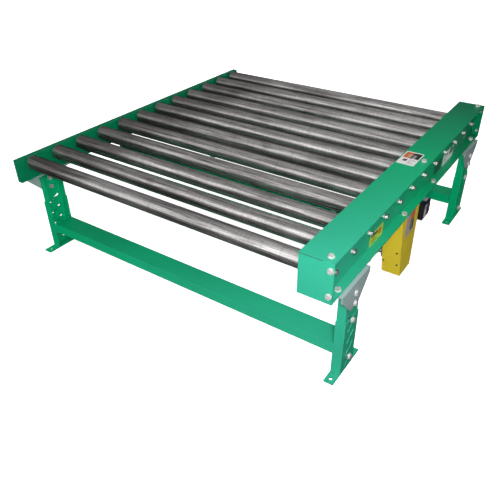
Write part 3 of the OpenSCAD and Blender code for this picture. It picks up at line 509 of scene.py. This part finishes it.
def printed(name, blocks, paper, rough=0.38):
    """A printed card: blocks of (left, low, right, high, colour) in shares of its width and height."""
    s = Shader(name)
    uv = s.add("ShaderNodeTexCoord").outputs["UV"]
    across, up = s.axis("X", uv), s.axis("Y", uv)
    colour = s.mix(s.ramp(s.noise(240.0, 4.0), 0.45, 0.7, 0, 0.35), paper, toned(paper, 0.8))
    for left, low, right, high, ink in blocks:
        inside = s.math("GREATER_THAN", across, left)
        tests = (("LESS_THAN", across, right), ("GREATER_THAN", up, low), ("LESS_THAN", up, high))
        for test, value, limit in tests:
            inside = s.math("MULTIPLY", inside, s.math(test, value, limit))
        colour = s.mix(inside, colour, ink)
    s.link(colour, s.bsdf.inputs["Base Color"])
    s.link(s.ramp(s.noise(60.0), 0.3, 0.7, rough - 0.05, rough + 0.1), s.bsdf.inputs["Roughness"])
    return s.material


def add_label(name, centre, across, up, size, blocks, paper, slot, body="bed", thick=0.3 * MM):
    """A thin card on a face, with its picture's width along across and its height along up."""
    across, up = Vector(across).normalized(), Vector(up).normalized()
    out = across.cross(up)
    bm = bmesh.new()

    def place(u, v, w):
        return Vector(centre) + across * u + up * v + out * w

    prism(bm, card_outline(*size, min(size) * 0.08), 0, thick, place)
    layer = bm.loops.layers.uv.new("UVMap")
    for face in bm.faces:
        for loop in face.loops:
            offset = loop.vert.co - Vector(centre)
            loop[layer].uv = (offset.dot(across) / size[0] + 0.5, offset.dot(up) / size[1] + 0.5)
    return add_piece(name, bm, body, slot, material=printed(name + "_print", blocks, paper))


WHITE, BLACK, ORANGE = (0.80, 0.80, 0.78), (0.015, 0.013, 0.018), (0.62, 0.13, 0.025)
LIME, BEIGE, PLUM, GREY_INK = (0.52, 0.58, 0.02), (0.45, 0.36, 0.26), (0.12, 0.06, 0.10), (0.32, 0.30, 0.30)
DARK_GREEN = (0.004, 0.05, 0.03)


def text_bars(left, right, rows, ink=GREY_INK, low=0.1, high=0.9):
    """Rows of plain bars where a label would carry small print."""
    step = (high - low) / rows
    return [(left, low + step * (k + 0.3), right - 0.13 * (k % 3), low + step * (k + 0.62), ink)
            for k in range(rows)]


def add_web_label(name, y, z, size, blocks, paper):
    """A label on the outer face of the drive side channel's web."""
    place = (WEB_LOW.x + WEB_THICK, y * MM, z * MM)
    add_label(name, place, (0, 1, 0), (0, 0, 1), (size[0] * MM, size[1] * MM), blocks, paper, "green_paint")


def add_labels():
    place = (COVER_LOW.x + 40 * MM, 17 * MM, COVER_HIGH.z)
    picture = [(0.06, 0.50, 0.48, 0.94, ORANGE), (0.27, 0.56, 0.46, 0.80, BEIGE),
               (0.48, 0.50, 0.94, 0.94, BLACK), (0.56, 0.50, 0.72, 0.78, GREY_INK),
               (0.20, 0.24, 0.42, 0.40, PLUM)] + text_bars(0.52, 0.92, 5, low=0.08, high=0.46)
    add_label("cover_label", place, (1, 0, 0), (0, 1, 0), (72 * MM, 130 * MM), picture, WHITE, "green_paint")
    add_web_label("web_label_front", -394, 421, (116, 50),
                  [(0.10, 0.62, 0.60, 0.84, DARK_GREEN), (0.66, 0.30, 0.86, 0.84, ORANGE)]
                  + text_bars(0.08, 0.62, 3, DARK_GREEN, 0.08, 0.55), LIME)
    add_web_label("web_label_rear", 408, 421, (146, 62),
                  [(0.62, 0.50, 0.96, 0.94, DARK_GREEN)] + text_bars(0.06, 0.58, 6, low=0.08, high=0.92),
                  WHITE)
    # A dark green card with faint green bars on the web, between the front and rear labels.
    add_web_label("web_dark_card", 268, 424, (88, 54),
                  text_bars(0.14, 0.86, 3, (0.02, 0.12, 0.08), 0.15, 0.85), DARK_GREEN)
    place = (GUARD_HIGH.x, -84 * MM, 322 * MM)
    picture = [(0.30, 0.56, 0.95, 0.95, ORANGE), (0.34, 0.62, 0.56, 0.88, BEIGE),
               (0.55, 0.14, 0.95, 0.54, BLACK), (0.62, 0.22, 0.76, 0.50, GREY_INK)]
    picture += text_bars(0.08, 0.50, 5, low=0.05, high=0.50)
    add_label("guard_label", place, (0, 1, 0), (0, 0, 1), (96 * MM, 110 * MM), picture, (0.50, 0.42, 0.36),
              "yellow_paint")
    low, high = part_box("starter_box")
    place = (high.x + LID_THICK, (low.y + high.y) / 2 - 14 * MM, (low.z + high.z) / 2)
    add_label("starter_plate", place, (0, 1, 0), (0, 0, 1), (20 * MM, 58 * MM),
              [(0.12, 0.60, 0.88, 0.92, GREY_INK)] + text_bars(0.15, 0.85, 4, low=0.08, high=0.5),
              (0.86, 0.80, 0.84), "black_steel")
    place = (MOTOR_AXIS.x + 47 * MM, 146 * MM, MOTOR_AXIS.z + 64.5 * MM)
    add_label("motor_plate", place, (0, 1, 0), (-0.8, 0, 0.6), (90 * MM, 34 * MM),
              text_bars(0.06, 0.94, 6, low=0.08, high=0.92), (0.62, 0.62, 0.62), "drive_paint")


add_labels()


# ---- Painted shadow strips at the cover ends ----

def add_cover_shadow_strips():
    """Dark strips of rubber material in the gap between each end plate's top edge and the cover, standing in for
    the shadow in the seam: painted shadow.
    """
    for name, end in (("front", COVER_LOW.y), ("rear", COVER_HIGH.y)):
        inward = math.copysign(1, -end)
        y, z = end + inward * 1.6 * MM, COVER_HIGH.z - COVER_THICK - 1.3 * MM
        bm = bmesh.new()
        outline = [(y + u, z + v) for u, v in card_outline(2.4 * MM, 2.5 * MM, 0.6 * MM)]
        prism(bm, outline, COVER_LOW.x + 1 * MM, WEB_LOW.x - 3 * MM, lambda u, v, w: (w, u, v))
        add_piece(name + "_cover_shadow_strip", bm, "bed", "seal_rubber")


add_cover_shadow_strips()


# ---- Welds ----

BAR_WELD_R = 2.4 * MM


def add_weld(name, start, end, body, radius=3.0 * MM):
    """A rippled bead of weld from start to end, half sunk in the joint."""
    start, end = Vector(start), Vector(end)
    along = (end - start).normalized()
    side = along.orthogonal().normalized()
    other = along.cross(side)
    rings = max(6, int((end - start).length / (1.1 * MM)))
    bm = bmesh.new()
    loops = []
    for k in range(rings + 1):
        share = k / rings
        taper = min(1, 0.35 + 5 * min(share, 1 - share))
        size = radius * taper * (1 + 0.10 * math.sin(k * 1.35) + 0.05 * random.uniform(-1, 1))
        centre = start.lerp(end, share) + side * random.uniform(-0.15, 0.15) * MM
        loops.append([bm.verts.new(centre + side * size * math.cos(t) + other * size * math.sin(t))
                      for t in (math.pi * j / 4 for j in range(8))])
    for first, second in zip(loops, loops[1:]):
        for j in range(8):
            n = (j + 1) % 8
            bm.faces.new((first[j], first[n], second[n], second[j]))
    bm.faces.new(reversed(loops[0]))
    bm.faces.new(loops[-1])
    return add_piece(name, bm, body, "green_paint", sharp=80)


def add_welds():
    """Beads where the legs meet their feet, and the crossmembers meet the legs."""
    random.seed(7)
    half_leg = 50.8 * MM
    foot_top = 6.35 * MM
    for end in ("front", "rear"):
        body = end + "_stand_lower"
        foot_low, foot_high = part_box(end + "_lower_legs")
        bar_low, bar_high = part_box(end + "_crossmember")
        middle = (foot_low.y + foot_high.y) / 2
        for side, word in ((-1, "left"), (1, "right")):
            inner = side * bar_high.x
            outer = side * (foot_high.x - 2 * MM)
            prefix = f"{end}_{word}"
            for step, y in enumerate((middle - half_leg, middle + half_leg)):
                add_weld(f"{prefix}_foot_weld_{step}", (inner, y, foot_top), (outer, y, foot_top), body)
            low, high = bar_low.z, bar_high.z
            near, far = bar_low.y, bar_high.y
            for step, y in enumerate((near, far)):
                add_weld(f"{prefix}_bar_weld_{step}", (inner, y, low), (inner, y, high), body, BAR_WELD_R)
            add_weld(f"{prefix}_bar_weld_top", (inner, near, high), (inner, far, high), body, BAR_WELD_R)


add_welds()


# ---- Camera, lights and stage ----

def add_camera():
    """The photograph's viewing angle."""
    place = Vector((1.28566, -2.01357, 1.47195))
    heading, tilt, roll = math.radians(124.387), math.radians(-33.899), math.radians(-0.46)
    ahead = Vector((math.cos(tilt) * math.cos(heading), math.cos(tilt) * math.sin(heading), math.sin(tilt)))
    right = ahead.cross(Vector((0, 0, 1))).normalized()
    up = right.cross(ahead)
    turned_right = right * math.cos(roll) + up * math.sin(roll)
    turned_up = up * math.cos(roll) - right * math.sin(roll)
    data = bpy.data.cameras.new("camera")
    data.lens = 39.8
    data.sensor_width = 36
    data.clip_end = 100
    camera = bpy.data.objects.new("camera", data)
    turn = Matrix((turned_right, turned_up, -ahead)).transposed()
    camera.matrix_world = Matrix.Translation(place) @ turn.to_4x4()
    bpy.context.scene.collection.objects.link(camera)
    bpy.context.scene.camera = camera


def add_light(name, place, size, power, aim=(0, 0, 0.4), glossy=True):
    data = bpy.data.lights.new(name, "AREA")
    data.shape = "RECTANGLE"
    data.size, data.size_y = size
    data.energy = power
    light = bpy.data.objects.new(name, data)
    light.location = place
    light.rotation_euler = (Vector(aim) - Vector(place)).to_track_quat("-Z", "Y").to_euler()
    light.visible_glossy = glossy
    bpy.context.scene.collection.objects.link(light)


def add_backdrop(name, points, faces, glow):
    """A plain pale surface that only the camera sees, so it casts no light on the object."""
    mesh = bpy.data.meshes.new(name)
    mesh.from_pydata(points, [], faces)
    piece = bpy.data.objects.new(name, mesh)
    piece.location.z = -0.2 * MM
    piece.visible_glossy = False
    piece.visible_diffuse = False
    bpy.context.scene.collection.objects.link(piece)
    s = Shader("pale_" + name)
    s.set(Base_Color=(0.86, 0.86, 0.86, 1), Roughness=0.9, Specular_IOR_Level=0.1)
    s.set(Emission_Color=(1, 1, 1, 1), Emission_Strength=glow)
    mesh.materials.append(s.material)


def add_stage():
    """A sky that dims towards the horizon and the idler side, and a white floor and walls."""
    world = bpy.data.worlds.new("studio")
    world.use_nodes = True
    tree = world.node_tree
    place = tree.nodes.new("ShaderNodeTexCoord")
    split = tree.nodes.new("ShaderNodeSeparateXYZ")
    tree.links.new(place.outputs["Generated"], split.inputs["Vector"])
    strength = tree.nodes.new("ShaderNodeMath")
    strength.operation = "MULTIPLY"
    for socket, axis, limits in ((0, "Z", (0.12, 0.65, 0.03, 0.42)), (1, "X", (-0.80, -0.30, 0.38, 1.0))):
        fade = tree.nodes.new("ShaderNodeMapRange")
        for key, value in zip(("From Min", "From Max", "To Min", "To Max"), limits):
            fade.inputs[key].default_value = value
        tree.links.new(split.outputs[axis], fade.inputs["Value"])
        tree.links.new(fade.outputs["Result"], strength.inputs[socket])
    tree.links.new(strength.outputs["Value"], tree.nodes["Background"].inputs["Strength"])
    tree.nodes["Background"].inputs["Color"].default_value = (1, 1, 1, 1)
    bpy.context.scene.world = world
    half, height = 30, 40
    corners = [(-half, -half), (half, -half), (half, half), (-half, half)]
    walls = [(k, (k + 1) % 4, (k + 1) % 4 + 4, k + 4) for k in range(4)]
    points = [(x, y, z) for z in (0, height) for x, y in corners]
    add_backdrop("floor", points[:4], [(0, 1, 2, 3)], 0.80)
    add_backdrop("walls", points, walls + [(4, 5, 6, 7)], 1.0)


add_camera()
add_stage()
add_light("key", (1.40, -2.05, 1.55), (0.45, 0.35), 54, aim=(0.4, -0.3, 0.4))
add_light("front", (-0.6, -3.6, 1.9), (6.0, 3.0), 52, aim=(0, -0.4, 0.45))
add_light("front_low", (0.3, -4.0, 0.95), (4.4, 0.5), 17, aim=(0, -0.4, 0.45))
add_light("side", (3.6, -0.6, 1.1), (2.0, 1.2), 12, aim=(0.7, 0, 0.4))
add_light("top", (0.5, -0.7, 2.5), (1.2, 1.0), 2, aim=(0.4, -0.3, 0.4))
add_light("back", (-2.8, 3.2, 0.95), (3.0, 1.2), 85, glossy=False)
add_light("far_corner", (2.6, 3.4, 1.3), (2.6, 0.9), 22)
bpy.context.scene.view_settings.view_transform = "Standard"
